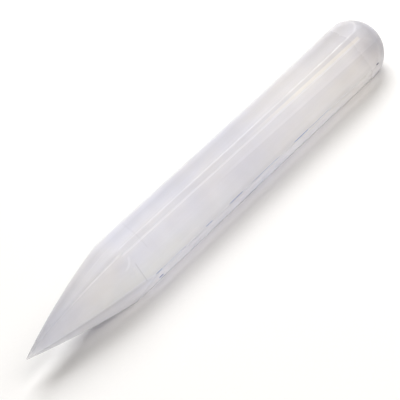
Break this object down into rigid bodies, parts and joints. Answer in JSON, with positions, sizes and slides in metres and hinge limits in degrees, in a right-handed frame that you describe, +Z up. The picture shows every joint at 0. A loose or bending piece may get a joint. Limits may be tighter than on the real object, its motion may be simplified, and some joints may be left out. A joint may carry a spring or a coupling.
{
  "type": "faceted crystal massage wand",
  "caption": "Polished milky translucent stone wand: a faceted bar with a slender faceted point at one end and a rounded dome at the other. Held in the hand for massage; lies on a long facet.",
  "frame": {"origin": "centre of the bounding box's base, on the table's surface under the middle of the bar", "axes": "+X along the bar towards the domed end, so the point is at -X; +Z up from the surface that the wand lies on; -Y is the side with the narrow bevel along its upper edge"},
  "size_m": [0.16, 0.0224, 0.0199],
  "materials": {
    "milky_stone": "polished, milky and translucent, faint lavender with a warm end"
  },
  "bodies": {
    "root": {"crystal_wand": "milky_stone"}
  },
  "joints": []
}
